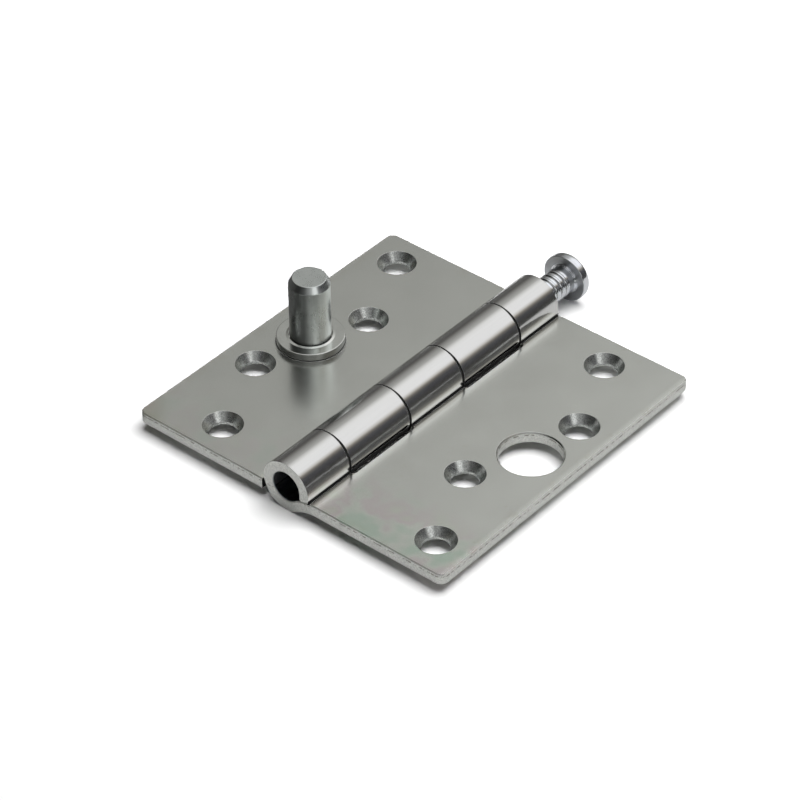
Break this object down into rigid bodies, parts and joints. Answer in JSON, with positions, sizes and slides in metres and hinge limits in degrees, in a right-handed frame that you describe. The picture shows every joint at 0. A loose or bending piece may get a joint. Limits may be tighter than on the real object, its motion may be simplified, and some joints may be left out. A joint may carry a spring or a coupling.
{
  "type": "security butt hinge",
  "caption": "Flat steel butt hinge with rolled knuckles, a loose ribbed pin, countersunk screw holes and a riveted stud that enters a keeper hole when closed.",
  "frame": {"origin": "on the hinge pin's axis, half way along the knuckles", "axes": "+Y along the pin towards its head, +X across the leaf with the keeper hole, +Z away from the screwed face, along the stud"},
  "size_m": [0.089, 0.1019, 0.0233],
  "materials": {
    "leaf_steel": "satin zinc plating",
    "stud_steel": "turned, zinc plated",
    "collar_steel": "turned, zinc plated",
    "pin_steel": "bright zinc plating"
  },
  "bodies": {
    "keeper_leaf": {"leaf_with_keeper_hole": "leaf_steel"},
    "stud_leaf": {"leaf_with_stud": "leaf_steel", "security_stud": "stud_steel", "stud_collar": "collar_steel"},
    "pin": {"hinge_pin": "pin_steel"}
  },
  "joints": [
    {"name": "leaf_swing", "type": "hinge", "parent": "keeper_leaf", "child": "stud_leaf", "pos_m": [0, 0, 0], "axis": [0, 1, 0], "range_deg": [-114, 180]},
    {"name": "pin_slide", "type": "slide", "parent": "keeper_leaf", "child": "pin", "axis": [0, 1, 0], "range_m": [-0.01035, 0.0778]}
  ]
}
